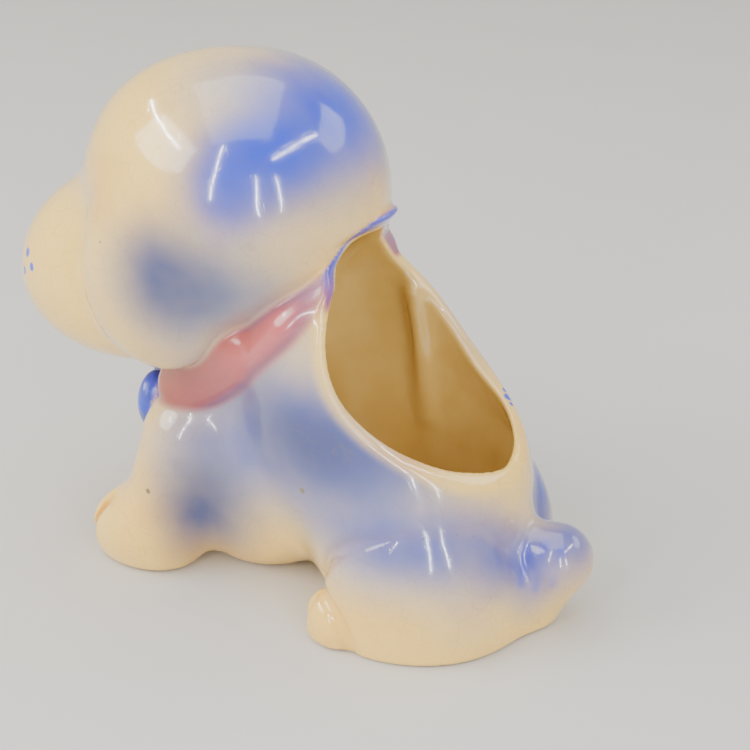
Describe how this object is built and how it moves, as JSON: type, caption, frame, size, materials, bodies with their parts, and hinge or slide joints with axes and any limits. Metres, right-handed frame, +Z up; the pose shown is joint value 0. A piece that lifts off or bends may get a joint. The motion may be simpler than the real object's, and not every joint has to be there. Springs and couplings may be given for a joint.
{
  "type": "figural puppy planter",
  "caption": "Glazed ceramic seated puppy with a ribbon round its neck and an open planter cavity in its back.",
  "frame": {"origin": "middle of the footprint, on the plane it stands on", "axes": "-Y the way the puppy faces, +X its left side, +Z up"},
  "size_m": [0.0882, 0.194, 0.165],
  "materials": {
    "cream_glaze": "glossy",
    "blue_cream_glaze": "glossy",
    "pink_glaze": "glossy",
    "blue_glaze": "glossy"
  },
  "bodies": {
    "root": {"body_shell": "blue_cream_glaze", "head_shell": "blue_cream_glaze", "left_ear": "blue_cream_glaze", "right_ear": "blue_cream_glaze", "nose": "blue_glaze", "neck_ribbon": "pink_glaze", "bow_knot": "blue_glaze", "left_bow_loop": "blue_glaze", "right_bow_loop": "blue_glaze", "left_foreleg": "cream_glaze", "right_foreleg": "cream_glaze", "left_haunch": "blue_cream_glaze", "right_haunch": "blue_cream_glaze", "left_hind_paw": "cream_glaze", "right_hind_paw": "cream_glaze", "tail": "blue_cream_glaze"}
  },
  "joints": []
}
